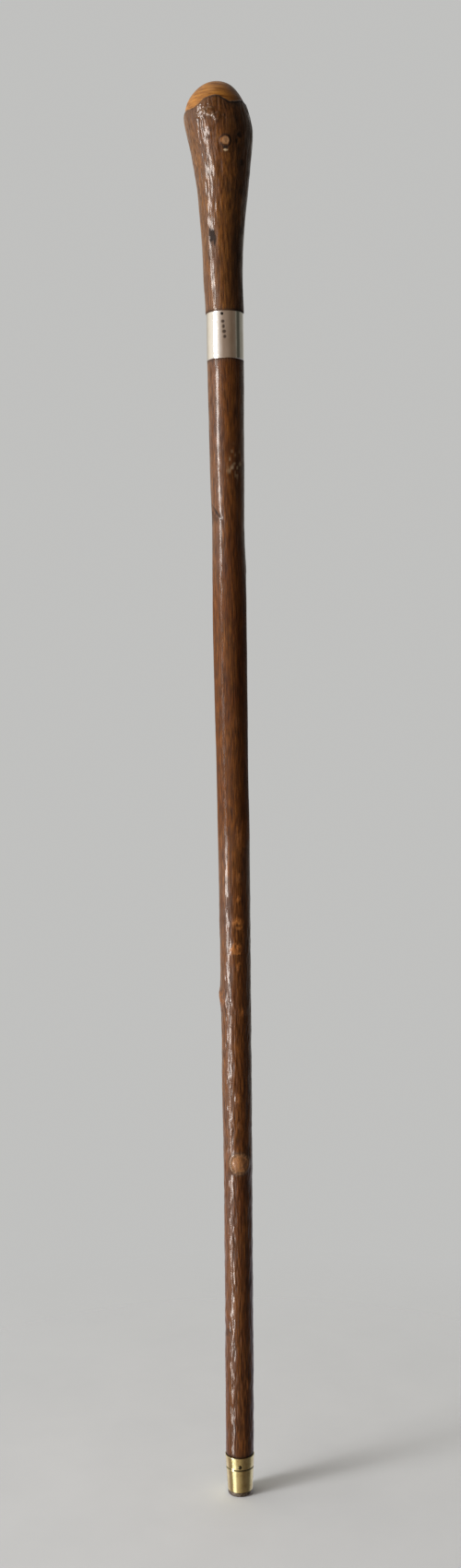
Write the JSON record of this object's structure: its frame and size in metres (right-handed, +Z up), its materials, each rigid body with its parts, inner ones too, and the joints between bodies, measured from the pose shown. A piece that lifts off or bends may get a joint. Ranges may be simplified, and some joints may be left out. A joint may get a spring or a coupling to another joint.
{
  "type": "single point cane",
  "caption": "Natural wood walking stick with a root-knob handle, a metal collar over the joint and a tapered brass ferrule with an iron heel.",
  "frame": {"origin": "centre of the heel's contact face, where the stick meets the ground", "axes": "+Z up the stick from the heel to the knob, -Y towards the front with the collar pin and ferrule pin, +X to the right seen from the front"},
  "size_m": [0.0432, 0.0432, 0.9],
  "materials": {
    "handle_wood": "natural bark on root wood, oiled, with the rounded top pared to bare light wood",
    "shaft_wood": "natural bark, oiled and rubbed to a soft shine, with fine cross marks and trimmed knots",
    "stud_steel": "plain turned steel",
    "collar_silver": "old polished silver, lightly tarnished, with fine scratches",
    "collar_pin_steel": "darkened steel",
    "ferrule_brass": "worn satin brass with one turned line",
    "ferrule_pin_brass": "worn brass",
    "heel_iron": "dark worn iron"
  },
  "bodies": {
    "root": {"knob_handle": "handle_wood", "cane_shaft": "shaft_wood", "joint_stud": "stud_steel", "silver_collar": "collar_silver", "collar_pin": "collar_pin_steel", "ferrule_barrel": "ferrule_brass", "ferrule_pin": "ferrule_pin_brass", "ferrule_heel": "heel_iron"}
  },
  "joints": []
}
